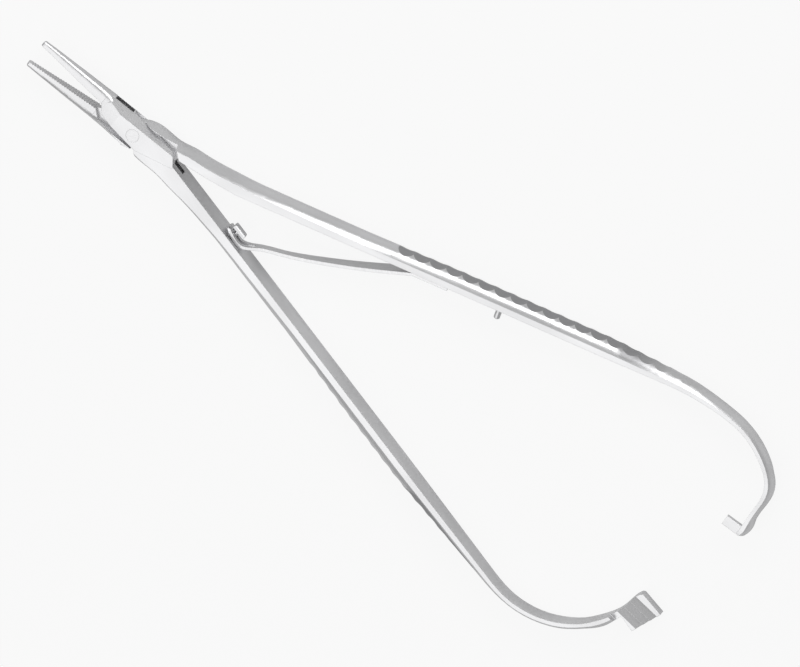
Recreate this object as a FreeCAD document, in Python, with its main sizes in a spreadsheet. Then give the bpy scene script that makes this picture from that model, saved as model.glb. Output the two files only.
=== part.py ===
import FreeCAD, Part
import Sketcher
import math
import os

# Palm-handled needle holder with a box lock, drawn open, lying on its back face.
# The origin is on the pivot's axis at the level of the back face; the tails are along +X,
# the tongue arm's handle is on the +Y side, and +Z is the side that faces the viewer.

SIZES = [
    ("thickness", 6.4, "thickness of the box and the handles, across the instrument"),
    ("open_angle", 5.0, "angle of each jaw to the centre line when open"),
    ("jaw_gap", 0.06, "gap left between the closed jaw faces"),
    ("jaw_tip", 29.6, "pivot to the end of the jaws"),
    ("throat", 10.3, "pivot to the end of the gripping faces"),
    ("jaw_back", 4.2, "centre line to the back of the jaws"),
    ("tip_depth", 1.35, "depth of a jaw near its tip"),
    ("tip_width", 1.35, "width of a jaw near its tip"),
    ("throat_width", 3.6, "width of a jaw where it meets the box"),
    ("cut_in", 0.5, "stock on a gripping face before it is ground to its plane"),
    ("flare_length", 5.0, "length of the bevels that widen the jaws to the box"),
    ("box_ridge", 2.35, "centre line to the edge of the flat front face of the box"),
    ("box_back", 4.1, "centre line to the outer side of the box"),
    ("handle_angle", 15.8, "angle of each handle to the centre line when open"),
    ("handle_foot", 12.0, "pivot to where the inner faces of the handles would cross"),
    ("handle_depth", 3.9, "depth of the handles at the grip"),
    ("handle_width", 6.35, "width of the handles, across the instrument"),
    ("neck_depth", 3.45, "depth of the handles at their neck"),
    ("ridge_depth", 1.45, "depth of the flat sides of the handles at the grip"),
    ("neck_distance", 31.0, "pivot to the neck of the handles"),
    ("root_depth", 8.05, "depth of the handles inside the box"),
    ("root_ridge", 6.8, "depth of the flat sides of the handles inside the box"),
    ("neck_ridge", 2.05, "depth of the flat sides of the handles at the neck"),
    ("straight_box", 134.2, "length of the straight part of the box arm's handle"),
    ("straight_tongue", 137.3, "length of the straight part of the tongue arm's handle"),
    ("curl_radius", 22.0, "radius of the curl of the box arm's tail"),
    ("curl_turn", 91.0, "turn of the curl of the box arm's tail"),
    ("box_end", 5.0, "straight end of the box arm's tail"),
    ("bow_radius", 60.0, "radius of the first bend of the tongue arm's tail"),
    ("bow_turn", 15.8, "turn of the first bend of the tongue arm's tail"),
    ("bend_radius", 22.0, "radius of the second bend of the tongue arm's tail"),
    ("bend_turn", 42.0, "turn of the second bend of the tongue arm's tail"),
    ("hook_radius", 8.0, "radius of the last bend of the tongue arm's tail"),
    ("hook_turn", 46.0, "turn of the last bend of the tongue arm's tail"),
    ("tongue_end", 10.0, "straight end of the tongue arm's tail"),
    ("station_step", 5.0, "distance from one section of a handle or tail to the next"),
    ("tail_width", 4.8, "width of the tails"),
    ("tail_depth", 1.9, "depth of the tails"),
    ("slot_width", 1.9, "width of the slot through the box"),
    ("slot_play", 0.05, "clearance between the tongue and each side of the slot"),
    ("pin_diameter", 3.2, "diameter of the pivot pin"),
    ("pin_play", 0.03, "clearance of the tongue round the pin, on the radius"),
    ("scallop_count", 20, "number of grip notches on the tongue arm"),
    ("box_scallop_count", 15, "number of grip notches on the box arm"),
    ("scallop_pitch", 4.1, "distance from one grip notch to the next"),
    ("scallop_depth", 0.8, "depth of the grip notches"),
    ("crest_depth", 0.2, "depth of the crests between the grip notches"),
    ("scallop_start", 67.0, "pivot to the first grip notch, along the handle"),
    ("tooth_pitch", 2.0, "distance from one ratchet notch to the next"),
    ("tooth_height", 0.7, "height of the ratchet teeth"),
    ("block_length", 7.4, "length of the ratchet block along the tail"),
    ("block_reach", 4.6, "reach of the ratchet block beyond the tail"),
    ("block_inset", 0.25, "step from the back of the tail to the back of the ratchet block"),
    ("foot_length", 4.0, "length of the pawl foot towards the jaws"),
    ("foot_height", 2.2, "height of the pawl foot along its tail"),
    ("pawl_height", 0.6, "height of the pawl tooth below its foot"),
    ("pawl_play", 0.12, "clearance of the pawl tooth over the crests of the ratchet"),
    ("leaf_gauge", 0.75, "thickness of the leaf spring"),
    ("leaf_root", 5.4, "width of the leaf spring at its root"),
    ("leaf_waist", 2.4, "width of the leaf spring at its waist"),
    ("leaf_eye", 3.5, "width of the leaf spring round its slot"),
    ("leaf_slot", 1.3, "width of the slot in the leaf spring"),
    ("slot_length", 6.5, "length of the slot in the leaf spring"),
    ("slot_lead", 0.94, "slot of the leaf spring beyond the spring stud, towards the jaws"),
    ("leaf_near", 72.8, "pivot to the near end of the leaf spring's root, along the handle"),
    ("leaf_far", 81.5, "pivot to the far end of the leaf spring's root, along the handle"),
    ("leaf_bow", 1.4, "bow of the leaf spring below a straight line"),
    ("leaf_toe", 2.4, "reach of the leaf spring's toe on each side of the stud"),
    ("leaf_turn_up", 0.5, "lift of the leaf spring's toe off the handle"),
    ("leaf_lift", 0.05, "clearance between the leaf spring and what it lies against"),
    ("stud_distance", 33.0, "pivot to the spring stud, along the handle"),
    ("stud_neck", 1.1, "diameter of the neck of the spring stud"),
    ("stud_height", 2.9, "height of the spring stud above the handle"),
    ("head_length", 3.6, "length of the square head of the spring stud"),
    ("head_width", 2.2, "width of the square head of the spring stud"),
    ("head_height", 0.9, "height of the square head of the spring stud"),
    ("stop_distance", 94.3, "pivot to the stop pin, along the handle"),
    ("stop_diameter", 1.5, "diameter of the stop pin"),
    ("stop_length", 3.2, "length of the stop pin below the handle"),
    ("seat_depth", 1.2, "depth to which the stud and the stop pin are let into the handles"),
    ("groove_pitch", 0.7, "distance from one groove of the gripping faces to the next"),
    ("groove_depth", 0.15, "depth of the grooves of the gripping faces"),
    ("groove_width", 0.4, "width of the grooves of the gripping faces"),
    ("tip_round", 0.55, "radius of the rounded tips of the jaws"),
    ("soft_edge", 0.25, "bevel on the heads of the stud and the stop pin"),
]

doc = FreeCAD.newDocument("NeedleHolder")
sheet = doc.addObject("Spreadsheet::Sheet", "Sizes")
for row, (alias, value, meaning) in enumerate(SIZES, start=1):
    sheet.set(f"A{row}", meaning)
    sheet.set(f"B{row}", str(value))
    sheet.setAlias(f"B{row}", alias)
doc.recompute()


def size(alias):
    return float(sheet.get(alias))


def along(angle):
    """Direction in the plane of the instrument, degrees from +X."""
    return FreeCAD.Vector(math.cos(math.radians(angle)), math.sin(math.radians(angle)), 0)


def outward(angle):
    """Direction square to along(angle), to its left."""
    return FreeCAD.Vector(-math.sin(math.radians(angle)), math.cos(math.radians(angle)), 0)


MIDDLE = FreeCAD.Vector(0, 0, size("thickness") / 2)
UP = FreeCAD.Vector(0, 0, 1)


def plane(body, role):
    return next(part for part in body.Origin.OriginFeatures if part.Role == role)


def sketch_on(body, name, offset=None, role="XY_Plane"):
    sketch = body.newObject("Sketcher::SketchObject", name)
    sketch.AttachmentSupport = [(plane(body, role), "")]
    sketch.MapMode = "FlatFace"
    if offset is not None:
        sketch.AttachmentOffset = offset
    return sketch


def level_sketch(body, name, height=None):
    """A sketch in the plane of the instrument, at its middle unless a height is given."""
    level = MIDDLE.z if height is None else height
    return sketch_on(body, name, FreeCAD.Placement(FreeCAD.Vector(0, 0, level), FreeCAD.Rotation()))


def section_placement(point, angle, side):
    """Sketch plane across a limb: its x runs across the instrument and its y away from the inner face."""
    out = outward(angle) * side
    turn = FreeCAD.Rotation(UP, out, UP.cross(out), "XYZ")
    return FreeCAD.Placement(FreeCAD.Vector(point.x, point.y, MIDDLE.z), turn)


def close_outline(sketch, points):
    """Straight outline through points; neighbours share their ends."""
    corners = [FreeCAD.Vector(x, y, 0) for x, y in points]
    count = len(corners)
    lines = [Part.LineSegment(corners[i], corners[(i + 1) % count]) for i in range(count)]
    sketch.addGeometry(lines)
    for i in range(count):
        sketch.addConstraint(Sketcher.Constraint("Coincident", i, 2, (i + 1) % count, 1))


def half_round(sketch, width, depth, flat):
    """Half-round section: flat inner face, two flat sides and a convex back that meets them at a ridge."""
    rise = depth - flat
    radius = (width * width / 4 + rise * rise) / (2 * rise)
    centre = FreeCAD.Vector(0, depth - radius, 0)
    lean = math.atan2(flat - centre.y, width / 2)
    left = FreeCAD.Vector(-width / 2, 0, 0)
    right = FreeCAD.Vector(width / 2, 0, 0)
    left_ridge = FreeCAD.Vector(-width / 2, flat, 0)
    right_ridge = FreeCAD.Vector(width / 2, flat, 0)
    back = Part.ArcOfCircle(Part.Circle(centre, UP, radius), lean, math.pi - lean)
    inner = Part.LineSegment(left, right)
    right_side, left_side = Part.LineSegment(right, right_ridge), Part.LineSegment(left_ridge, left)
    sketch.addGeometry([inner, right_side, back, left_side])
    for first, first_end, second, second_end in ((0, 2, 1, 1), (1, 2, 2, 1), (2, 2, 3, 1), (3, 2, 0, 1)):
        sketch.addConstraint(Sketcher.Constraint("Coincident", first, first_end, second, second_end))
    sketch.addConstraint(Sketcher.Constraint("Horizontal", 0))
    sketch.addConstraint(Sketcher.Constraint("Vertical", 1))
    sketch.addConstraint(Sketcher.Constraint("Vertical", 3))
    sketch.addConstraint(Sketcher.Constraint("Symmetric", 0, 1, 0, 2, -1, 1))
    sketch.addConstraint(Sketcher.Constraint("PointOnObject", 2, 3, -2))
    sketch.addConstraint(Sketcher.Constraint("DistanceX", 0, 1, 0, 2, width))
    sketch.addConstraint(Sketcher.Constraint("DistanceY", 1, 1, 1, 2, flat))
    sketch.addConstraint(Sketcher.Constraint("Radius", 2, radius))


def loft(body, name, stations, side):
    """Limb lofted through half-round sections; a station is point, angle, width, depth and flat."""
    sketches = []
    for index, (point, angle, width, depth, flat) in enumerate(stations):
        sketch = sketch_on(body, f"{name}_section_{index}", section_placement(point, angle, side))
        half_round(sketch, width, depth, flat)
        sketches.append(sketch)
    feature = body.newObject("PartDesign::AdditiveLoft", name)
    feature.Profile = sketches[0]
    feature.Sections = sketches[1:]
    return feature


def pad(body, sketch, name, length):
    feature = body.newObject("PartDesign::Pad", name)
    feature.Profile = sketch
    feature.SideType = "Symmetric"
    feature.setExpression("Length", length)
    return feature


def pocket(body, sketch, name, length, side_type="Symmetric"):
    feature = body.newObject("PartDesign::Pocket", name)
    feature.Profile = sketch
    feature.SideType = side_type
    feature.setExpression("Length", length)
    return feature


# The jaws: half-round, their flat faces on the centre line when closed.
def jaw_face(x, side):
    """Point of a jaw's gripping face, in the open pose."""
    slope = math.tan(math.radians(size("open_angle")))
    return FreeCAD.Vector(x, side * (size("jaw_gap") / 2 - x * slope), 0)


def jaw_stations(side):
    """Sections of a jaw and the half of the box that carries it; the gripping face is cut later."""
    tip, throat = size("jaw_tip"), size("throat")
    flare_slope = (size("thickness") - size("throat_width")) / size("flare_length")
    root_floor = size("cut_in") * 2.8
    tip_floor = jaw_face(-tip, 1).y - size("cut_in")
    stations = []
    for step in range(7):
        x = -tip * (1 - step / 6.0)
        share = (x + tip) / tip
        if x < -throat:
            flare = (x + tip) / (tip - throat)
            width = size("tip_width") + (size("throat_width") - size("tip_width")) * flare
        else:
            width = size("throat_width") + (x + throat) * flare_slope * 1.12
        floor = tip_floor - (tip_floor + root_floor) * share
        tip_back = jaw_face(-tip, 1).y + size("tip_depth")
        back = size("jaw_back") + (tip_back - size("jaw_back")) * (1 - share) ** 3
        tip_ridge = tip_back - size("tip_depth") * 0.44
        ridge = size("box_ridge") + (tip_ridge - size("box_ridge")) * (1 - share) ** 2
        stations.append((FreeCAD.Vector(x, side * floor, 0), 0, width, back - floor, ridge - floor))
    return stations


def jaw_cut(side):
    """Outline of what is cut away in front of a gripping face."""
    tip, throat = size("jaw_tip") + 1, size("throat")
    near, far = jaw_face(-throat, side), jaw_face(-tip, side)
    return [(-throat, near.y), (-tip, far.y), (-tip, -side * FAR), (-throat, -side * FAR)]


# Where the handles' lofts start inside the box, measured from the pivot.
LIMB_START = -2.0


# A limb is a handle with its tail: straight, then bent through arcs towards the other arm.
def limb_at(distance, straight, bends):
    """Point and angle of the inner face of the tongue arm's limb, at a distance along it."""
    angle = size("handle_angle")
    foot = size("handle_foot")
    start = foot * math.cos(math.radians(angle))
    run = min(distance, straight)
    point = FreeCAD.Vector(foot, 0, 0) + along(angle) * (run - start)
    left = distance - run
    for radius, turn in bends:
        if left <= 0:
            break
        swept = min(turn, math.degrees(left / radius))
        centre = point - outward(angle) * radius
        angle -= swept
        point = centre + outward(angle) * radius
        left -= math.radians(swept) * radius
    return point + along(angle) * max(0.0, left), angle


def limb_length(straight, bends, end):
    return straight + sum(math.radians(turn) * radius for radius, turn in bends) + end


def between(knots, distance):
    """Value at a distance, straight between knots of distance and value."""
    for (low, first), (high, second) in zip(knots, knots[1:]):
        if distance <= high:
            share = max(0.0, (distance - low) / (high - low))
            return first + (second - first) * share
    return knots[-1][1]


def limb_profile(slim_from, slim_to):
    """Knots of width, depth and flat along a limb; it slims to its tail between two distances."""
    width, tail, thin = size("handle_width"), size("tail_width"), size("tail_depth")
    root, neck = LIMB_START, size("neck_distance")
    box, grip_from, grip = size("throat") * 1.2, 0.9 * size("scallop_start"), 1.22 * size("scallop_start")
    waist = (box + neck) / 2
    widths = [(slim_from, width), (slim_to + 6, tail)]
    depths = [(root, size("root_depth")), (box, size("neck_depth") * 1.5)]
    depths += [(waist, size("neck_depth") * 1.17), (neck, size("neck_depth")), (grip_from, size("neck_depth"))]
    depths += [(grip, size("handle_depth")), (slim_from, size("handle_depth")), (slim_to, thin)]
    flats = [(root, size("root_ridge")), (box, size("neck_ridge") * 2.0), (waist, size("neck_ridge") * 1.36)]
    flats += [(neck, size("neck_ridge")), (grip_from, size("ridge_depth")), (slim_from, size("ridge_depth"))]
    flats += [(slim_to, thin * 0.48)]
    return widths, depths, flats


def limb_stations(side, straight, bends, end, profile):
    widths, depths, flats = profile
    start, length = LIMB_START, limb_length(straight, bends, end)
    count = round((length - start) / size("station_step"))
    rows = []
    for step in range(count + 1):
        distance = start + (length - start) * step / count
        point, angle = limb_at(distance, straight, bends)
        section = (between(widths, distance), between(depths, distance), between(flats, distance))
        rows.append((FreeCAD.Vector(point.x, side * point.y, 0), side * angle, *section))
    return rows


def cut_prism(body, name, points, low, high):
    """Straight-sided cut through an outline, between two heights."""
    sketch = level_sketch(body, f"{name}_outline", (low + high) / 2)
    close_outline(sketch, points)
    feature = body.newObject("PartDesign::Pocket", name)
    feature.Profile = sketch
    feature.SideType = "Symmetric"
    feature.Length = high - low
    return feature


def add_prism(body, name, points, low, high):
    """Straight-sided block on an outline, between two heights."""
    sketch = level_sketch(body, f"{name}_outline", (low + high) / 2)
    close_outline(sketch, points)
    feature = body.newObject("PartDesign::Pad", name)
    feature.Profile = sketch
    feature.SideType = "Symmetric"
    feature.Length = high - low
    return feature


def bore(body, name, radius):
    sketch = level_sketch(body, f"{name}_outline")
    sketch.addGeometry(Part.Circle(FreeCAD.Vector(0, 0, 0), UP, size("pin_diameter") / 2))
    sketch.addConstraint(Sketcher.Constraint("Coincident", 0, 3, -1, 1))
    sketch.addConstraint(Sketcher.Constraint("Radius", 0, size("pin_diameter") / 2))
    sketch.setExpression("Constraints[1]", radius)
    return pocket(body, sketch, name, "2 * Sizes.thickness")


FAR = 2 * size("thickness")
BOTTOM, TOP = -FAR, size("thickness") + FAR
MID = size("thickness") / 2
JAW_SIDE = -(size("throat") - 0.1)

# Outline of the cheeks of the box, seen from the front.
CHEEK = [
    (JAW_SIDE, 1.0), (-8.8, -1.0), (2.2, -2.7), (12.0, -0.4), (11.6, 0.4), (10.0, 2.7), (-2.5, 3.9), (-8.0, 3.9),
]

# What the box arm leaves free below its cheeks, for the shank of the tongue arm.
UNDER_CHEEK = [
    (-13, -FAR), (-13, 0.5), (JAW_SIDE - 0.05, 0.9), (-8.8, -1.0), (2.2, -2.7), (4.0, -5.0), (4.0, -FAR),
]

# What the box arm leaves free above its cheeks, for the handle of the tongue arm.
OVER_CHEEK = [(-2.5, 3.9), (10.0, 2.7), (11.6, 0.4), (14.0, 0.4), (14.0, FAR), (-2.5, FAR)]

# The slanted shoulder of the tongue behind its jaw, and its upper side.
SHOULDER = [(-13, FAR), (-13, -0.5), (-10.3, -0.8), (-8.3, 0.5), (-4.5, 1.6), (-3.0, 4.8), (-3.0, FAR)]

# The slot through the box, with the way that the tongue sweeps as the handles close.
SLOT = [
    (JAW_SIDE - 0.3, 0.5), (JAW_SIDE - 0.3, 1.3), (-8.1, 4.6), (-8.1, FAR), (14.0, FAR), (14.8, -0.5),
    (14.0, -2.35), (11.2, -2.8), (1.5, -3.65), (1.0, -FAR), (-13, -FAR), (-13, 0.3),
]

# The recess on each side of the tongue, with the way that the cheeks sweep.
RECESS = [
    (-10.9, FAR), (-10.9, -0.75), (-8.6, -2.8), (2.3, -3.0), (2.3, -FAR), (12.3, -FAR),
    (12.3, 1.0), (12.0, 2.3), (9.6, 4.55), (1.0, 3.86), (-3.0, 4.1), (-3.0, FAR),
]

# The lower edge of the tongue and the relief of its handle, which lets the handles close.
RELIEF = [
    (1.0, -FAR), (2.0, -3.0), (11.2, -0.6), (11.6, 2.2),
    (18.5, 2.95), (27.0, 4.27), (27.0, 0.0), (14.0, -FAR),
]

BOX_BENDS = [(size("curl_radius"), size("curl_turn"))]
TONGUE_BENDS = [
    (size("bow_radius"), size("bow_turn")),
    (size("bend_radius"), size("bend_turn")),
    (size("hook_radius"), size("hook_turn")),
]
BOX_LIMB = (size("straight_box"), BOX_BENDS)
TONGUE_LIMB = (size("straight_tongue"), TONGUE_BENDS)


def scallops(body, side, limb, profile, count):
    """Grip notches across the back of a handle: a row of hollow arcs, cut through."""
    depths = profile[1]
    pitch, hollow = size("scallop_pitch"), size("scallop_depth")

    def back_point(distance, below):
        point, angle = limb_at(distance, *limb)
        place = point + outward(angle) * (between(depths, distance) - below)
        return FreeCAD.Vector(place.x, side * place.y, 0)

    def crest_below(index):
        return 0.03 if index in (0, count) else size("crest_depth")

    start = size("scallop_start")
    edges = []
    for index in range(count):
        near = start + index * pitch
        fade = min(1.0, (count - index) / 4.0)
        first = back_point(near, crest_below(index))
        last = back_point(near + pitch, crest_below(index + 1))
        edges.append(Part.Arc(first, back_point(near + 0.42 * pitch, hollow * fade), last))
    first = back_point(start, crest_below(0))
    last = back_point(start + count * pitch, crest_below(count))
    far_last, far_first = back_point(start + count * pitch, -4.0), back_point(start, -4.0)
    bulge = back_point(start + count * pitch / 2, -6.0)
    edges.append(Part.LineSegment(last, far_last))
    edges.append(Part.LineSegment(far_last, bulge))
    edges.append(Part.LineSegment(bulge, far_first))
    edges.append(Part.LineSegment(far_first, first))
    sketch = level_sketch(body, "scallop_outline")
    sketch.addGeometry(edges)
    return pocket(body, sketch, "scallops", "2 * Sizes.thickness")


def flare(body):
    """Bevels in front and at the back that widen a jaw to the flat faces of the box."""
    throat, narrow = size("throat"), size("throat_width") / 2
    wide_at = size("flare_length") - throat
    for name, way in (("front_flare", 1), ("back_flare", -1)):
        sketch = sketch_on(body, f"{name}_outline", role="XZ_Plane")
        rows = [(-throat, narrow), (wide_at, MID), (2.5, MID), (2.5, FAR), (-throat, FAR)]
        close_outline(sketch, [(x, MID + way * half) for x, half in rows])
        pocket(body, sketch, name, "8 * Sizes.thickness")


def serrate(body, side):
    """Fine grooves across a gripping face, from the throat to the tip."""
    lean = -side * size("open_angle")
    face, off = along(lean), outward(lean) * side
    pitch, half, deep = size("groove_pitch"), size("groove_width") / 2, size("groove_depth")
    start = jaw_face(-size("throat"), side)
    count = int((size("jaw_tip") - size("throat") - size("tip_round")) / pitch)
    sketch = level_sketch(body, "serration_outline")
    for index in range(1, count + 1):
        middle = start - face * (index * pitch)
        flank = face * (2 * half)
        corners = [middle - flank - off * deep, middle + off * deep, middle + flank - off * deep]
        sketch.addGeometry([Part.LineSegment(corners[i], corners[(i + 1) % 3]) for i in range(3)])
    pocket(body, sketch, "serration", "2 * Sizes.thickness")


def round_tip(body, side):
    """Rounds the tip of a jaw, seen from the front and from the side."""
    radius = size("tip_round")
    tip = -size("jaw_tip")
    back = jaw_face(tip, 1).y + size("tip_depth")
    front = level_sketch(body, "tip_front_outline")
    corner(front, (tip, side * back), (1, -side), radius * 1.6)
    pocket(body, front, "tip_front", "4 * Sizes.thickness")
    plan = sketch_on(body, "tip_plan_outline", role="XZ_Plane")
    half = size("tip_width") / 2
    corner(plan, (tip, MID + half), (1, -1), radius)
    corner(plan, (tip, MID - half), (1, 1), radius)
    pocket(body, plan, "tip_plan", "4 * Sizes.thickness")


def corner(sketch, point, inward, radius):
    """What is cut off an outer corner to round it."""
    x, y = point
    way_x, way_y = inward
    lap = 0.4
    start = FreeCAD.Vector(x, y + way_y * radius, 0)
    end = FreeCAD.Vector(x + way_x * radius, y, 0)
    bend = radius * (1 - math.sqrt(0.5))
    middle = FreeCAD.Vector(x + way_x * bend, y + way_y * bend, 0)
    out_x, out_y = x - way_x * lap, y - way_y * lap
    outer = [end, FreeCAD.Vector(x + way_x * radius, out_y, 0), FreeCAD.Vector(out_x, out_y, 0)]
    outer += [FreeCAD.Vector(out_x, y + way_y * radius, 0), start]
    sketch.addGeometry([Part.Arc(start, middle, end)])
    sketch.addGeometry([Part.LineSegment(outer[i], outer[i + 1]) for i in range(4)])


# The box arm: one forging with the upper jaw, the box, the lower handle and the ratchet.
box_arm = doc.addObject("PartDesign::Body", "box_arm")
box_profile = limb_profile(size("straight_box") - 32, size("straight_box") + 4)
loft(box_arm, "jaw", jaw_stations(1), 1)
cut_prism(box_arm, "jaw_face", jaw_cut(1), BOTTOM, TOP)
serrate(box_arm, 1)
round_tip(box_arm, 1)
loft(box_arm, "handle", limb_stations(-1, *BOX_LIMB, size("box_end"), box_profile), -1)
add_prism(box_arm, "cheeks", CHEEK, 0, size("thickness"))
flare(box_arm)
cut_prism(box_arm, "under_cheek", UNDER_CHEEK, BOTTOM, TOP)
cut_prism(box_arm, "over_cheek", OVER_CHEEK, BOTTOM, TOP)
bevel_start = FreeCAD.Vector(-0.9 * size("throat"), size("box_ridge"), 0)
for name, way in (("front_bevel", 1), ("back_bevel", -1)):
    bevel = sketch_on(box_arm, f"{name}_outline", section_placement(bevel_start, -0.6, 1))
    outer, inner = way * MID * 1.1, way * size("slot_width") / 2
    rise = size("box_back") - size("box_ridge") - 0.15
    close_outline(bevel, [(outer, 0), (way * MID, 0), (inner, rise), (inner, 2 * rise), (outer, 2 * rise)])
    pocket(box_arm, bevel, name, "3.6 * Sizes.thickness", "One side")
cut_prism(box_arm, "slot", SLOT, MID - size("slot_width") / 2, MID + size("slot_width") / 2)
bore(box_arm, "pin_bore", "Sizes.pin_diameter / 2")
scallops(box_arm, -1, BOX_LIMB, box_profile, int(size("box_scallop_count")))

# The tongue arm: one forging with the lower jaw, the tongue, the upper handle and the pawl.
tongue_arm = doc.addObject("PartDesign::Body", "tongue_arm")
tongue_profile = limb_profile(size("straight_tongue") - 16, size("straight_tongue") + 16)
tongue_half = size("slot_width") / 2 - size("slot_play")
loft(tongue_arm, "jaw", jaw_stations(-1), -1)
cut_prism(tongue_arm, "jaw_face", jaw_cut(-1), BOTTOM, TOP)
serrate(tongue_arm, -1)
round_tip(tongue_arm, -1)
loft(tongue_arm, "handle", limb_stations(1, *TONGUE_LIMB, size("tongue_end"), tongue_profile), 1)
flare(tongue_arm)
cut_prism(tongue_arm, "relief", RELIEF, BOTTOM, TOP)
cut_prism(tongue_arm, "shoulder", SHOULDER, BOTTOM, TOP)
cut_prism(tongue_arm, "front_recess", RECESS, MID + tongue_half, TOP)
cut_prism(tongue_arm, "back_recess", RECESS, BOTTOM, MID - tongue_half)
bore(tongue_arm, "pin_bore", "Sizes.pin_diameter / 2 + Sizes.pin_play")
scallops(tongue_arm, 1, TONGUE_LIMB, tongue_profile, int(size("scallop_count")))


def local_outline(point, angle, side, corners):
    """Outline given along and square to a limb, placed in the plane of the instrument."""
    forward, out = along(side * angle), outward(side * angle) * side
    base = FreeCAD.Vector(point.x, side * point.y, 0)
    places = [base + forward * ahead + out * aside for ahead, aside in corners]
    return [(place.x, place.y) for place in places]


def radial_sketch(body, name, radius, bearing):
    """Sketch square to a line from the pivot: its x runs up and its y along the pawl's way."""
    centre = along(bearing) * radius
    way = outward(bearing)
    turn = FreeCAD.Rotation(UP, way, UP.cross(way), "XYZ")
    place = FreeCAD.Placement(FreeCAD.Vector(centre.x, centre.y, MIDDLE.z), turn)
    return sketch_on(body, name, place)


# The ratchet: a block beyond the end of the box arm's tail, with saw teeth on its front side.
box_tip, box_tip_angle = limb_at(limb_length(*BOX_LIMB, size("box_end")), *BOX_LIMB)
block_far = size("tail_depth") + size("block_reach")
block = local_outline(box_tip, box_tip_angle, -1, [
    (-size("block_length"), 0.2), (0.35, 0.2),
    (0.6, block_far), (-size("block_length") - 0.3, block_far - 0.8),
])
back_of_tail = MID - size("tail_width") / 2 + size("block_inset")
crest = MID + 0.4
add_prism(box_arm, "ratchet_block", block, back_of_tail, crest)
centre_x = sum(x for x, _ in block) / 4
centre_y = sum(y for _, y in block) / 4
block_bearing = math.degrees(math.atan2(centre_y, centre_x))
block_radius = math.hypot(centre_x, centre_y)
tooth_sketch = radial_sketch(box_arm, "tooth_outline", block_radius, block_bearing)
saw = [(FAR, size("block_length") / 2 + 1.5)]
mark = size("block_length") / 2 - 1.1
saw.append((crest - MID, size("block_length") / 2 + 1.5))
saw.append((crest - MID, mark))
for _ in range(3):
    saw.append((crest - MID - size("tooth_height"), mark))
    mark -= size("tooth_pitch")
    saw.append((crest - MID, mark))
saw.append((crest - MID, -size("block_length") / 2 - 1.5))
saw.append((FAR, -size("block_length") / 2 - 1.5))
close_outline(tooth_sketch, saw)
pocket(box_arm, tooth_sketch, "ratchet_teeth", "2 * Sizes.block_reach + 8 * Sizes.tail_depth")

# The pawl: a foot at the end of the tongue arm's tail, with one tooth on its back side.
tongue_tip, tongue_tip_angle = limb_at(limb_length(*TONGUE_LIMB, size("tongue_end")), *TONGUE_LIMB)
foot = local_outline(tongue_tip, tongue_tip_angle, 1, [
    (0.25, size("tail_depth") / 2), (0.25, -size("foot_length")),
    (-size("foot_height"), -size("foot_length")), (-size("foot_height"), size("tail_depth") / 2),
])
foot_low = crest + size("pawl_play") + size("pawl_height")
add_prism(tongue_arm, "pawl_foot", foot, foot_low, MID + size("tail_width") / 2 - 0.25)
foot_middle = (-size("foot_height") / 2, -size("foot_length") / 2)
pawl_centre = local_outline(tongue_tip, tongue_tip_angle, 1, [foot_middle])[0]
pawl_bearing = math.degrees(math.atan2(pawl_centre[1], pawl_centre[0]))
pawl_sketch = radial_sketch(tongue_arm, "pawl_tooth_outline", math.hypot(*pawl_centre), pawl_bearing)
pawl_low = crest + size("pawl_play") - MID
pawl_high = foot_low - MID + 0.1
close_outline(pawl_sketch, [(pawl_high, 0.8), (pawl_low, 0.75), (pawl_low, 0.55), (pawl_high, -0.8)])
pad(tongue_arm, pawl_sketch, "pawl_tooth", "Sizes.foot_length - 0.4")

# The pivot pin: a plain rivet, ground flush with the cheeks.
pivot_pin = doc.addObject("PartDesign::Body", "pivot_pin")
pin_sketch = level_sketch(pivot_pin, "pin_outline")
pin_sketch.addGeometry(Part.Circle(FreeCAD.Vector(0, 0, 0), UP, size("pin_diameter") / 2))
pin_sketch.addConstraint(Sketcher.Constraint("Coincident", 0, 3, -1, 1))
pin_sketch.addConstraint(Sketcher.Constraint("Radius", 0, size("pin_diameter") / 2))
pin_sketch.setExpression("Constraints[1]", "Sizes.pin_diameter / 2")
pad(pivot_pin, pin_sketch, "pin", "Sizes.thickness")

# The leaf spring: fixed by its flat root to the tongue arm's handle; its slotted toe slides on the other.
def face_point(distance, side, above):
    """Point above the inner face of a handle's straight part, on the side of the other handle."""
    point, angle = limb_at(distance, size("straight_box"), [])
    place = point - outward(angle) * above
    return FreeCAD.Vector(place.x, side * place.y, 0)


half_gauge = size("leaf_gauge") / 2
seat = half_gauge + size("leaf_lift")
leaf_start = face_point(size("leaf_near"), 1, seat)
leaf_end = face_point(size("leaf_far"), 1, seat)
toe, turn_up = size("leaf_toe"), size("leaf_turn_up")
leaf_foot = face_point(size("stud_distance") + toe, -1, seat + 0.25 * turn_up)
leaf_line = [leaf_start]
for share in (0.12, 0.34, 0.54, 0.75, 0.89):
    drop = FreeCAD.Vector(0, size("leaf_bow") * math.sin(math.pi * share), 0)
    leaf_line.append(leaf_start + (leaf_foot - leaf_start) * share - drop)
leaf_line.append(leaf_foot)
leaf_line.append(face_point(size("stud_distance") - 0.1 * toe, -1, seat + 0.5 * turn_up))
leaf_line.append(face_point(size("stud_distance") - toe, -1, seat + 1.5 * turn_up))
middle_curve = Part.BSplineCurve()
middle_curve.interpolate(leaf_line)


def leaf_edge(offset):
    """Curve beside the leaf's middle line."""
    points = [leaf_line[0] - outward(size("handle_angle")) * offset]
    for place in leaf_line[1:]:
        along_curve = middle_curve.tangent(middle_curve.parameter(place))[0]
        points.append(place + UP.cross(along_curve) * offset)
    curve = Part.BSplineCurve()
    curve.interpolate(points)
    return curve


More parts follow.
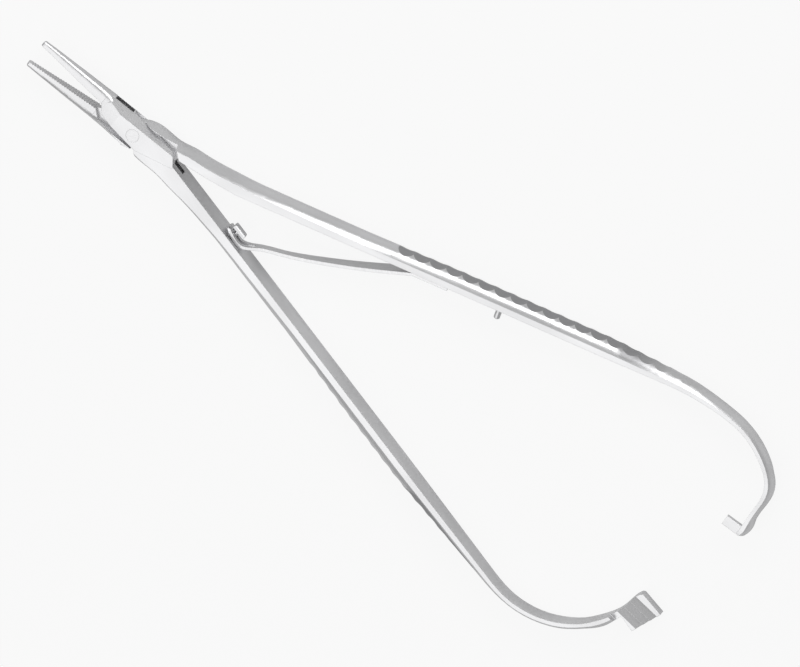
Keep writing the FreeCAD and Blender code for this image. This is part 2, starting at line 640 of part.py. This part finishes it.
leaf_spring = doc.addObject("PartDesign::Body", "leaf_spring")
leaf_sketch = level_sketch(leaf_spring, "leaf_outline")
upper, lower = leaf_edge(half_gauge), leaf_edge(-half_gauge)
end_lower = leaf_end - outward(size("handle_angle")) * half_gauge
end_upper = leaf_end + outward(size("handle_angle")) * half_gauge
leaf_sketch.addGeometry([
    upper, Part.LineSegment(upper.EndPoint, lower.EndPoint), lower,
    Part.LineSegment(lower.StartPoint, end_upper), Part.LineSegment(end_upper, end_lower),
    Part.LineSegment(end_lower, upper.StartPoint),
])
pad(leaf_spring, leaf_sketch, "leaf", "Sizes.leaf_root")


def leaf_plan(name, rows):
    """Cut from above and below, given by places along +X and half widths."""
    for side in (1, -1):
        sketch = sketch_on(leaf_spring, f"{name}_{'front' if side > 0 else 'back'}_outline", role="XZ_Plane")
        close_outline(sketch, [(x, MID + side * half) for x, half in rows])
        pocket(leaf_spring, sketch, f"{name}_{'front' if side > 0 else 'back'}", "8 * Sizes.thickness")


waist, eye, root = size("leaf_waist") / 2, size("leaf_eye") / 2, size("leaf_root") / 2
toe_x, root_x = leaf_line[-1].x, leaf_start.x
slot_from = face_point(size("stud_distance"), -1, 0).x - size("slot_lead")
slot_to = slot_from + size("slot_length")
neck_in = 0.28 * size("slot_length")
leaf_plan("leaf_side", [
    (toe_x - toe, root + 1), (toe_x - toe, eye * 0.6), (toe_x, eye * 0.8), (toe_x + 0.4 * toe, eye),
    (slot_to - neck_in, eye), (slot_to + neck_in, waist), (slot_to + size("slot_length"), waist),
    (root_x, root), (root_x, root + 1),
])
slot_sketch = sketch_on(leaf_spring, "leaf_slot_outline", role="XZ_Plane")
half_slot = size("leaf_slot") / 2
close_outline(slot_sketch, [
    (slot_from, MID - half_slot), (slot_to, MID - half_slot),
    (slot_to, MID + half_slot), (slot_from, MID + half_slot),
])
pocket(leaf_spring, slot_sketch, "leaf_slot", "8 * Sizes.thickness")

# The spring stud: a round neck let into the box arm's handle, with a square head over the leaf.
def peg_placement(distance, side, height):
    """Frame on a handle's inner face: z stands off the face and x runs along the handle."""
    point = face_point(distance, side, height)
    angle = side * size("handle_angle")
    off = outward(angle) * -side
    turn = FreeCAD.Rotation(along(angle), off.cross(along(angle)), off, "XYZ")
    return FreeCAD.Placement(FreeCAD.Vector(point.x, point.y, MID), turn)


def soften(body, feature, placement):
    """Bevels the edges of a peg's outer end."""
    doc.recompute()
    inverse = placement.inverse()
    heights = [inverse.multVec(vertex.Point).z for vertex in feature.Shape.Vertexes]
    top = max(heights)
    names = []
    for index, edge in enumerate(feature.Shape.Edges, start=1):
        if all(abs(inverse.multVec(vertex.Point).z - top) < 0.001 for vertex in edge.Vertexes):
            names.append(f"Edge{index}")
    chamfer = body.newObject("PartDesign::Chamfer", f"{feature.Name}_bevel")
    chamfer.Base = (feature, names)
    chamfer.setExpression("Size", "Sizes.soft_edge")


def peg(body, name, placement, diameter, length):
    sketch = sketch_on(body, f"{name}_outline", placement)
    sketch.addGeometry(Part.Circle(FreeCAD.Vector(0, 0, 0), UP, size(diameter) / 2))
    sketch.addConstraint(Sketcher.Constraint("Coincident", 0, 3, -1, 1))
    sketch.addConstraint(Sketcher.Constraint("Radius", 0, size(diameter) / 2))
    sketch.setExpression("Constraints[1]", f"Sizes.{diameter} / 2")
    feature = body.newObject("PartDesign::Pad", name)
    feature.Profile = sketch
    feature.setExpression("Length", length)
    return feature


def peg_hole(body, name, placement, diameter, depth):
    sketch = sketch_on(body, f"{name}_outline", placement)
    sketch.addGeometry(Part.Circle(FreeCAD.Vector(0, 0, 0), UP, size(diameter) / 2))
    sketch.addConstraint(Sketcher.Constraint("Coincident", 0, 3, -1, 1))
    sketch.addConstraint(Sketcher.Constraint("Radius", 0, size(diameter) / 2))
    sketch.setExpression("Constraints[1]", f"Sizes.{diameter} / 2")
    return pocket(body, sketch, name, depth, "One side")


spring_stud = doc.addObject("PartDesign::Body", "spring_stud")
stud_seat = peg_placement(size("stud_distance"), -1, -size("seat_depth"))
peg(spring_stud, "neck", stud_seat, "stud_neck", "Sizes.seat_depth + Sizes.stud_height")
head_seat = peg_placement(size("stud_distance"), -1, size("stud_height") - size("head_height"))
head_sketch = sketch_on(spring_stud, "head_outline", head_seat)
half_length, half_width = size("head_length") / 2, size("head_width") / 2
close_outline(head_sketch, [
    (-half_length, -half_width), (half_length, -half_width),
    (half_length, half_width), (-half_length, half_width),
])
head = spring_stud.newObject("PartDesign::Pad", "head")
head.Profile = head_sketch
head.setExpression("Length", "Sizes.head_height")
soften(spring_stud, head, stud_seat)
peg_hole(box_arm, "stud_hole", peg_placement(size("stud_distance"), -1, 0), "stud_neck", "Sizes.seat_depth")

# The stop pin: a short round peg in the tongue arm's handle.
stop_pin = doc.addObject("PartDesign::Body", "stop_pin")
stop_seat = peg_placement(size("stop_distance"), 1, -size("seat_depth"))
stop = peg(stop_pin, "stop", stop_seat, "stop_diameter", "Sizes.seat_depth + Sizes.stop_length")
soften(stop_pin, stop, stop_seat)
stop_mouth = peg_placement(size("stop_distance"), 1, 0)
peg_hole(tongue_arm, "stop_hole", stop_mouth, "stop_diameter", "Sizes.seat_depth")
doc.recompute()

BODIES = (box_arm, tongue_arm, pivot_pin, leaf_spring, spring_stud, stop_pin)
failed = [item.Name for item in doc.Objects if "Invalid" in item.State or "Error" in item.State]
if failed:
    raise RuntimeError("features that failed: " + ", ".join(failed))
for body in BODIES:
    body.Label = body.Name
    if body.Shape.isNull() or not body.Shape.isValid() or len(body.Shape.Solids) != 1:
        raise RuntimeError("a sub-part has no single valid solid: " + body.Name)

os.makedirs("parts", exist_ok=True)
for body in BODIES:
    body.Shape.exportStep(f"parts/{body.Label}.step")
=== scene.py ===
import math

import bmesh
import bpy
from bpy.props import FloatProperty, FloatVectorProperty, PointerProperty
from mathutils import Matrix, Vector


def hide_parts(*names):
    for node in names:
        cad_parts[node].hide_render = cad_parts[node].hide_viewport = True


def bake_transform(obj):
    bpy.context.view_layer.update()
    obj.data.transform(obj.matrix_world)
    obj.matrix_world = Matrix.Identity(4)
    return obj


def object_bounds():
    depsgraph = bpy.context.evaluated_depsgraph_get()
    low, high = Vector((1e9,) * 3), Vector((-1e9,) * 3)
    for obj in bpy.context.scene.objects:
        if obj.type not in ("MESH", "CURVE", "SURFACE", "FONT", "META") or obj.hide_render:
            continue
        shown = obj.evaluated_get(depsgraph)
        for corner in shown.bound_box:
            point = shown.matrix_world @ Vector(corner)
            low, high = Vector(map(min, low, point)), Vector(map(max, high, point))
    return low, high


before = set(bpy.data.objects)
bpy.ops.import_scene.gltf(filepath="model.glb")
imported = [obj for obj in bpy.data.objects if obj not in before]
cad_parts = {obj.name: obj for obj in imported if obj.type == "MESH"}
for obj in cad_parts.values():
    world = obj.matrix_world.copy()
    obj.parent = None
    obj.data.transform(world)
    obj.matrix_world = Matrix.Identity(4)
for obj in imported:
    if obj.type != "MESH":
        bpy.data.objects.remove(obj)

bl_info = {
    "name": "Needle Holder",
    "version": (1, 0, 0),
    "blender": (4, 5, 0),
    "location": "View3D > Sidebar > Needle Holder",
    "description": "Satin steel finishes, leaf spring and studio for a palm-handled needle holder",
    "category": "Object",
}

MM = 0.001
CAD_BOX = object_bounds()

# Sizes of the instrument that the finishes follow, in millimetres and degrees.
OPEN_ANGLE = 5.0
JAW_GAP = 0.06
THROAT = 10.3
HANDLE_ANGLE = 15.8
HANDLE_FOOT = 12.0
HANDLE_RIDGE = 1.45
BOW_START = 137.3
BOW_RADIUS = 60.0
HANDLE_WIDTH = 6.35
NECK_DEPTH = 3.45
GRIP_DEPTH = 3.9
GRIP_FROM = 60.3
GRIP_FULL = 81.7
GRIP_FADE = 128.0
NOTCH_START = 67.0
NOTCH_PITCH = 4.1
NOTCH_COUNTS = {"box_arm": 15, "tongue_arm": 20}
MIDDLE = 3.2

# Limits of the finishes, in millimetres: where a hollow of the grip begins and where its painted shade is
# full, how far the blasting and the painted shade run out, the skin of the gripping face, the rounding of
# edges and the fine reliefs.
HOLLOW_FROM = 0.07
HOLLOW_FULL = 0.13
SHADE_AND_BLAST_EDGE = 0.2
SHADE_AND_BLAST_RISE = 0.3
FACE_SKIN = 0.16
FACE_SKIN_END = 0.2
EDGE_ROUND = 0.12
ARM_RELIEF = 0.04
SMALL_RELIEF = 0.03

# The view: a square-on drawing, seen from the front and a little from the tongue arm's side.
VIEW_TILT = 25.0
VIEW_ROLL = 38.2
VIEW_WIDTH = 185.6
VIEW_CENTRE = (77.15, 1.01)

# The studio, in metres from the middle of the view, but for the floor's gap in millimetres: a large key lamp
# over the flats and a long one beside the backs.
KEY_PLACE = (-0.15, -0.24, 0.62)
KEY_SIZE = (1.0, 0.72)
FILL_PLACE = (-0.14, 0.60, 0.40)
FILL_SIZE = (1.1, 0.34)
FLOOR_REACH = 1.6
FLOOR_GAP = 0.2
CAMERA_DISTANCE = 0.6

# How white the floor and the surroundings look to the camera and in the steel, and their true light.
FLOOR_SEEN = 0.90
FLOOR_MIRRORED = 0.20
WORLD_LIGHT = 0.25
WORLD_MIRRORED = 0.18


class Field:
    """A shader value that is reckoned with like a number: each operation adds its Math node."""

    def __init__(self, finish, socket):
        self.finish = finish
        self.socket = socket

    def _math(self, operation, *values, clamp=False):
        return self.finish.math(operation, *values, clamp=clamp)

    def __add__(self, other):
        return self._math("ADD", self, other)

    def __radd__(self, other):
        return self._math("ADD", other, self)

    def __sub__(self, other):
        return self._math("SUBTRACT", self, other)

    def __rsub__(self, other):
        return self._math("SUBTRACT", other, self)

    def __mul__(self, other):
        return self._math("MULTIPLY", self, other)

    def __rmul__(self, other):
        return self._math("MULTIPLY", other, self)

    def __truediv__(self, other):
        return self._math("DIVIDE", self, other)

    def __pow__(self, other):
        return self._math("POWER", self, other)

    def __abs__(self):
        return self._math("ABSOLUTE", self)

    def lowest(self, other):
        return self._math("MINIMUM", self, other)

    def highest(self, other):
        return self._math("MAXIMUM", self, other)

    def between(self, low, high):
        """0 below low, 1 above high, straight between."""
        return self._math("DIVIDE", self - low, high - low, clamp=True)


class Finish:
    """A material or world under construction, with one method for any node."""

    def __init__(self, owner):
        self.owner = owner
        owner.use_nodes = True
        self.tree = owner.node_tree
        self.tree.nodes.clear()

    def node(self, kind, settings=None, sockets=None, out=0):
        """Adds a node, sets its settings and then its sockets, and gives the output asked for."""
        node = self.tree.nodes.new(kind)
        for key, value in (settings or {}).items():
            setattr(node, key, value)
        for key, value in (sockets or {}).items():
            if isinstance(value, Field):
                self.tree.links.new(value.socket, node.inputs[key])
            else:
                node.inputs[key].default_value = value
        return Field(self, node.outputs[out]) if node.outputs else None

    def math(self, operation, *values, clamp=False):
        settings = {"operation": operation, "use_clamp": clamp}
        return self.node("ShaderNodeMath", settings, dict(enumerate(values)))

    def blend(self, share, first, second):
        """Colour between first and second."""
        return self.node("ShaderNodeMix", {"data_type": "RGBA"}, {0: share, 6: first, 7: second}, 2)

    def place(self):
        """Object coordinates in millimetres, as three values and a vector."""
        vector = self.node("ShaderNodeTexCoord", out="Object")
        to_mm = {"Vector": vector, "Scale": 1 / MM}
        scaled = self.node("ShaderNodeVectorMath", {"operation": "SCALE"}, to_mm)
        split = self.node("ShaderNodeSeparateXYZ", sockets={"Vector": scaled}).socket.node
        return [Field(self, socket) for socket in split.outputs], scaled

    def grain(self, vector, angle, stretch, scale, detail=3.0):
        """Noise stretched along a direction in the plane of the instrument."""
        turned = self.node(
            "ShaderNodeMapping", {"vector_type": "TEXTURE"},
            {"Vector": vector, "Rotation": (0.0, 0.0, math.radians(angle)), "Scale": (stretch, 1.0, 1.0)})
        return self.noise(turned, scale, detail)

    def noise(self, vector, scale, detail=2.0):
        return self.node("ShaderNodeTexNoise", sockets={"Vector": vector, "Scale": scale, "Detail": detail})

    def soft_edge(self, radius=EDGE_ROUND):
        """Normal that rounds the sharp edges a little, as tumbling does."""
        return self.node("ShaderNodeBevel", {"samples": 4}, {"Radius": radius * MM})

    def bump(self, height, strength, distance):
        """Normal of a fine relief, over edges that are rounded a little."""
        sockets = {"Strength": strength, "Distance": distance, "Height": height, "Normal": self.soft_edge()}
        return self.node("ShaderNodeBump", sockets=sockets)

    def rays(self, seen, mirrored):
        """Share for what the camera sees, and another for what mirrors and clear pieces show."""
        kinds = ("Camera", "Glossy", "Transmission")
        camera, glossy, clear = (self.node("ShaderNodeLightPath", out=f"Is {kind} Ray") for kind in kinds)
        return (camera * seen).highest(glossy.highest(clear) * mirrored)

    def metal(self, colour, roughness, normal):
        sockets = {"Base Color": colour, "Metallic": 1.0, "Roughness": roughness, "Normal": normal}
        return self.finish(self.node("ShaderNodeBsdfPrincipled", sockets=sockets))

    def finish(self, surface):
        """Shows this shader on the surface."""
        self.node("ShaderNodeOutputMaterial", sockets={"Surface": surface})
        return self.owner


class NeedleHolderFinish(bpy.types.PropertyGroup):
    steel_colour: FloatVectorProperty(
        name="Steel colour", description="Colour of the satin steel", subtype="COLOR", size=3,
        min=0.0, max=1.0, default=(0.84, 0.84, 0.85))
    steel_roughness: FloatProperty(
        name="Steel roughness", description="Softness of the reflections on the satin steel",
        subtype="FACTOR", min=0.0, max=1.0, default=0.30)
    # The grip colour below is painted shade: it darkens the hollows of the grip notches in place of the shade
    # that falls in them.
    grip_hollow_shade_colour: FloatVectorProperty(
        name="Grip colour", description="Colour of the blasted grip on the backs of the handles",
        subtype="COLOR", size=3, min=0.0, max=1.0, default=(0.40, 0.40, 0.41))
    # The gripping face colour below is painted shade: it darkens the fine pits of the gripping faces in place
    # of the shade in them.
    jaw_pit_shade_colour: FloatVectorProperty(
        name="Gripping face colour", description="Colour in the fine pits of the gripping faces",
        subtype="COLOR", size=3, min=0.0, max=1.0, default=(0.26, 0.26, 0.27))
    spring_roughness: FloatProperty(
        name="Spring roughness", description="Softness of the reflections on the leaf spring",
        subtype="FACTOR", min=0.0, max=1.0, default=0.24)


class NeedleHolderStage(bpy.types.PropertyGroup):
    floor_colour: FloatVectorProperty(
        name="Floor colour", description="Colour of the floor", subtype="COLOR", size=3,
        min=0.0, max=1.0, default=(0.70, 0.70, 0.70))
    key_power: FloatProperty(
        name="Key light", description="Power of the large lamp over the instrument",
        unit="POWER", min=0.0, default=1.7)
    fill_power: FloatProperty(
        name="Fill light", description="Power of the lamp on the side of the tongue arm",
        unit="POWER", min=0.0, default=2.5)
    view_tilt: FloatProperty(
        name="View tilt", description="Lean of the view from square-on towards the tongue arm's side",
        subtype="ANGLE", default=math.radians(VIEW_TILT))
    view_roll: FloatProperty(
        name="View roll", description="Turn of the instrument in the picture", subtype="ANGLE",
        default=math.radians(VIEW_ROLL))
    view_width: FloatProperty(
        name="View width", description="Width that the picture shows", unit="LENGTH",
        default=VIEW_WIDTH * MM)


def tint(colour, share=1.0):
    """Colour darkened to a share of its own brightness, with its alpha."""
    return tuple(share * part for part in colour) + (1.0,)


def limb_fields(x, y, side):
    """Distance along a handle and depth from its inner face; side is 1 for the tongue arm, else -1."""
    angle = math.radians(HANDLE_ANGLE)
    across = side * y
    run = x * math.cos(angle) + across * math.sin(angle)
    depth = across * math.cos(angle) - (x - HANDLE_FOOT) * math.sin(angle)
    past = (run - BOW_START).highest(0.0)
    return run, depth + past * past / (2 * BOW_RADIUS)


def notch_hollows(run, depth, z, count):
    """1 in the hollows of the grip notches, told by how far they lie inside the round back of a handle."""
    back = NECK_DEPTH + run.between(GRIP_FROM, GRIP_FULL) * (GRIP_DEPTH - NECK_DEPTH)
    rise = back - HANDLE_RIDGE
    radius = (rise * rise + HANDLE_WIDTH * HANDLE_WIDTH / 4) / (rise * 2.0)
    axis = depth - back + radius
    height = z - MIDDLE
    inside = radius - (axis * axis + height * height) ** 0.5
    end = NOTCH_START + NOTCH_PITCH * count
    along = run.between(NOTCH_START - SHADE_AND_BLAST_EDGE, NOTCH_START) * (1.0 - run.between(end, end + SHADE_AND_BLAST_EDGE))
    stretch = along * (1.0 - run.between(GRIP_FADE, BOW_START))
    above_ridge = depth.between(HANDLE_RIDGE, HANDLE_RIDGE + SHADE_AND_BLAST_RISE)
    return inside.between(HOLLOW_FROM, HOLLOW_FULL) * stretch * above_ridge


def arm_steel(name, side, count, looks):
    """Satin steel of an arm: ground flats, grip notches blasted rougher with painted shade in their hollows,
    and a gripping face with painted shade in its pits.
    """
    finish = Finish(bpy.data.materials.new(name))
    (x, y, z), place = finish.place()
    run, depth = limb_fields(x, y, side)
    brushed = finish.grain(place, side * HANDLE_ANGLE, 14.0, 5.5)
    broad = finish.grain(place, side * HANDLE_ANGLE, 3.0, 0.16, 2.0)
    grip = notch_hollows(run, depth, z, count)
    slope = math.tan(math.radians(OPEN_ANGLE))
    off_face = abs(side * y + x * slope - JAW_GAP / 2)
    jaw = (1.0 - off_face.between(FACE_SKIN, FACE_SKIN_END)) * (1.0 - x.between(-THROAT - 0.1, -THROAT))
    pits = finish.node("ShaderNodeTexVoronoi", {"feature": "F1"}, {"Vector": place, "Scale": 2.6})
    blast = finish.noise(place, 4.5, 4.0)
    colour = finish.blend(broad.between(0.35, 0.65), tint(looks.steel_colour, 0.90), tint(looks.steel_colour))
    # Painted shade: the hollows of the grip notches are darkened towards the grip colour; the blasting itself
    # shows only in roughness and bump.
    colour = finish.blend(grip * (0.75 + blast * 0.25), colour, tint(looks.grip_hollow_shade_colour))
    # Painted shade: the pits of the gripping face are darkened towards the gripping face colour.
    colour = finish.blend(jaw * pits.between(0.42, 0.12), colour, tint(looks.jaw_pit_shade_colour))
    rough = looks.steel_roughness + (brushed - 0.5) * 0.10 + grip * 0.18 + jaw * 0.15
    normal = finish.bump(brushed * 0.25 + grip * blast * 0.9 + jaw * pits * 2.0, 0.25, ARM_RELIEF * MM)
    return finish.metal(colour, rough, normal)


def small_steel(name, looks, roughness, angle, tone=1.0):
    """Turned or rolled steel of the small parts, with a fine grain along one direction."""
    finish = Finish(bpy.data.materials.new(name))
    _, place = finish.place()
    grain = finish.grain(place, angle, 8.0, 7.0)
    colour = finish.blend(
        grain.between(0.3, 0.7), tint(looks.steel_colour, 0.86 * tone), tint(looks.steel_colour, tone))
    return finish.metal(colour, roughness + (grain - 0.5) * 0.12, finish.bump(grain, 0.2, SMALL_RELIEF * MM))


def give(piece, material):
    piece.data.materials.clear()
    piece.data.materials.append(material)


def merged_copy(node, name, cuts=0):
    """Closed copy of a CAD node with its doubled points merged, smooth but for its edges."""
    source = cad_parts[node]
    mesh = bpy.data.meshes.new(name)
    work = bmesh.new()
    work.from_mesh(source.data)
    bmesh.ops.remove_doubles(work, verts=work.verts, dist=0.0005 * MM)
    if cuts:
        long_edges = [edge for edge in work.edges if edge.calc_length() > 1.5 * MM]
        bmesh.ops.subdivide_edges(work, edges=long_edges, cuts=cuts)
        bmesh.ops.triangulate(work, faces=work.faces)
    work.to_mesh(mesh)
    work.free()
    piece = bpy.data.objects.new(name, mesh)
    bpy.context.scene.collection.objects.link(piece)
    mesh.shade_smooth()
    mesh.set_sharp_from_angle(angle=math.radians(28.0))
    return piece


class NEEDLEHOLDER_OT_arms(bpy.types.Operator):
    """Gives both arms their satin steel"""
    bl_idname = "needleholder.arms"
    bl_label = "Finish the Arms"

    def execute(self, context):
        looks = context.scene.needle_holder_finish
        for node, side in (("box_arm", -1), ("tongue_arm", 1)):
            material = arm_steel(f"{node}_steel", side, NOTCH_COUNTS[node], looks)
            give(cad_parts[node], material)
        return {"FINISHED"}


class NEEDLEHOLDER_OT_small_parts(bpy.types.Operator):
    """Gives the pin, the stud and the stop their turned steel"""
    bl_idname = "needleholder.small_parts"
    bl_label = "Finish the Small Parts"

    def execute(self, context):
        looks = context.scene.needle_holder_finish
        rows = (("pivot_pin", 0.30, 40.0, 1.0), ("spring_stud", 0.34, -HANDLE_ANGLE, 0.95),
                ("stop_pin", 0.34, HANDLE_ANGLE, 0.95))
        for node, roughness, angle, tone in rows:
            give(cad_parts[node], small_steel(f"{node}_steel", looks, roughness, angle, tone))
        return {"FINISHED"}


class NEEDLEHOLDER_OT_leaf_spring(bpy.types.Operator):
    """Makes a smooth copy of the leaf spring, which on the real instrument bends as the handles close, and
    gives it its steel
    """
    bl_idname = "needleholder.leaf_spring"
    bl_label = "Make the Leaf Spring"

    def execute(self, context):
        looks = context.scene.needle_holder_finish
        leaf = merged_copy("leaf_spring", "leaf_spring_blade", cuts=2)
        give(leaf, small_steel("leaf_spring_steel", looks, looks.spring_roughness, -35.0))
        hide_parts("leaf_spring")
        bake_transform(leaf)
        return {"FINISHED"}


def backdrop_finish(name, colour, glow, mirrored):
    """Plain matt surface, a touch uneven; the camera and the steel see it nearly white, shadows and all."""
    finish = Finish(bpy.data.materials.new(name))
    _, place = finish.place()
    uneven = finish.blend(finish.noise(place, 0.01), tint(colour, 0.985), tint(colour))
    matt = finish.node(
        "ShaderNodeBsdfPrincipled",
        sockets={"Base Color": uneven, "Roughness": 0.9, "Specular IOR Level": 0.1})
    white = finish.node("ShaderNodeEmission")
    share = finish.rays(glow, mirrored)
    return finish.finish(finish.node("ShaderNodeMixShader", sockets={0: share, 1: matt, 2: white}))


def lamp(name, place, aim, size, power):
    """Soft rectangular lamp, its longer size along X."""
    data = bpy.data.lights.new(name, "AREA")
    data.shape = "RECTANGLE"
    data.size, data.size_y = size
    data.energy = power
    light = bpy.data.objects.new(name, data)
    light.location = place
    light.rotation_euler = (Vector(aim) - Vector(place)).to_track_quat("-Z", "Y").to_euler()
    bpy.context.scene.collection.objects.link(light)


def world_light(strength, mirrored):
    """Even grey light; the camera sees it white, and the steel shows it at its own brightness."""
    world = bpy.data.worlds.new("studio_world")
    bpy.context.scene.world = world
    light = Finish(world)
    plain, seen = (
        light.node("ShaderNodeBackground", sockets={"Color": (1.0, 1.0, 1.0, 1.0), "Strength": value})
        for value in (strength, 1.0))
    share = light.rays(1.0, mirrored)
    mix = light.node("ShaderNodeMixShader", sockets={0: share, 1: plain, 2: seen})
    light.node("ShaderNodeOutputWorld", sockets={"Surface": mix})


class NEEDLEHOLDER_OT_stage(bpy.types.Operator):
    """Makes the floor, the lamps and the camera"""
    bl_idname = "needleholder.stage"
    bl_label = "Make the Stage"

    def execute(self, context):
        stage = context.scene.needle_holder_stage
        low, _ = CAD_BOX
        floor_mesh = bpy.data.meshes.new("floor")
        work = bmesh.new()
        bmesh.ops.create_grid(work, x_segments=1, y_segments=1, size=FLOOR_REACH)
        bmesh.ops.translate(work, verts=work.verts, vec=(0.0, 0.0, low[2] - FLOOR_GAP * MM))
        work.to_mesh(floor_mesh)
        work.free()
        floor = bpy.data.objects.new("floor", floor_mesh)
        context.scene.collection.objects.link(floor)
        give(floor, backdrop_finish("floor_finish", stage.floor_colour, FLOOR_SEEN, FLOOR_MIRRORED))
        middle = Vector((VIEW_CENTRE[0] * MM, 0.0, 0.0))
        lamp("key_lamp", middle + Vector(KEY_PLACE), middle, KEY_SIZE, stage.key_power)
        lamp("fill_lamp", middle + Vector(FILL_PLACE), middle, FILL_SIZE, stage.fill_power)
        world_light(WORLD_LIGHT, WORLD_MIRRORED)
        tilt, roll = stage.view_tilt, stage.view_roll
        right = Vector((math.cos(roll), math.sin(roll) * math.cos(tilt), -math.sin(roll) * math.sin(tilt)))
        up = Vector((-math.sin(roll), math.cos(roll) * math.cos(tilt), -math.cos(roll) * math.sin(tilt)))
        back = Vector((0.0, math.sin(tilt), math.cos(tilt)))
        along, across = VIEW_CENTRE
        aim = Vector((along, across * math.cos(tilt), MIDDLE - across * math.sin(tilt))) * MM
        data = bpy.data.cameras.new("camera")
        data.type = "ORTHO"
        data.ortho_scale = stage.view_width
        camera = bpy.data.objects.new("camera", data)
        turn = Matrix((right, up, back)).transposed().to_4x4()
        camera.matrix_world = Matrix.Translation(aim + back * CAMERA_DISTANCE) @ turn
        context.scene.collection.objects.link(camera)
        context.scene.camera = camera
        context.scene.view_settings.view_transform = "Standard"
        return {"FINISHED"}


class NEEDLEHOLDER_PT_panel(bpy.types.Panel):
    """Lists the steps that dress the needle holder"""
    bl_idname = "NEEDLEHOLDER_PT_panel"
    bl_label = "Needle Holder"
    bl_space_type = "VIEW_3D"
    bl_region_type = "UI"
    bl_category = "Needle Holder"

    def draw(self, context):
        column = self.layout.column()
        for group in (context.scene.needle_holder_finish, context.scene.needle_holder_stage):
            for name in group.__annotations__:
                column.prop(group, name)
        for operator in OPERATORS:
            column.operator(operator.bl_idname)


GROUPS = (NeedleHolderFinish, NeedleHolderStage)
OPERATORS = (
    NEEDLEHOLDER_OT_arms,
    NEEDLEHOLDER_OT_small_parts,
    NEEDLEHOLDER_OT_leaf_spring,
    NEEDLEHOLDER_OT_stage,
)


def register():
    for kind in GROUPS + OPERATORS + (NEEDLEHOLDER_PT_panel,):
        bpy.utils.register_class(kind)
    bpy.types.Scene.needle_holder_finish = PointerProperty(type=NeedleHolderFinish)
    bpy.types.Scene.needle_holder_stage = PointerProperty(type=NeedleHolderStage)


def unregister():
    del bpy.types.Scene.needle_holder_stage
    del bpy.types.Scene.needle_holder_finish
    for kind in reversed(GROUPS + OPERATORS + (NEEDLEHOLDER_PT_panel,)):
        bpy.utils.unregister_class(kind)


def main():
    register()
    bpy.ops.needleholder.arms()
    bpy.ops.needleholder.small_parts()
    bpy.ops.needleholder.leaf_spring()
    bpy.ops.needleholder.stage()


if __name__ == "__main__":
    main()
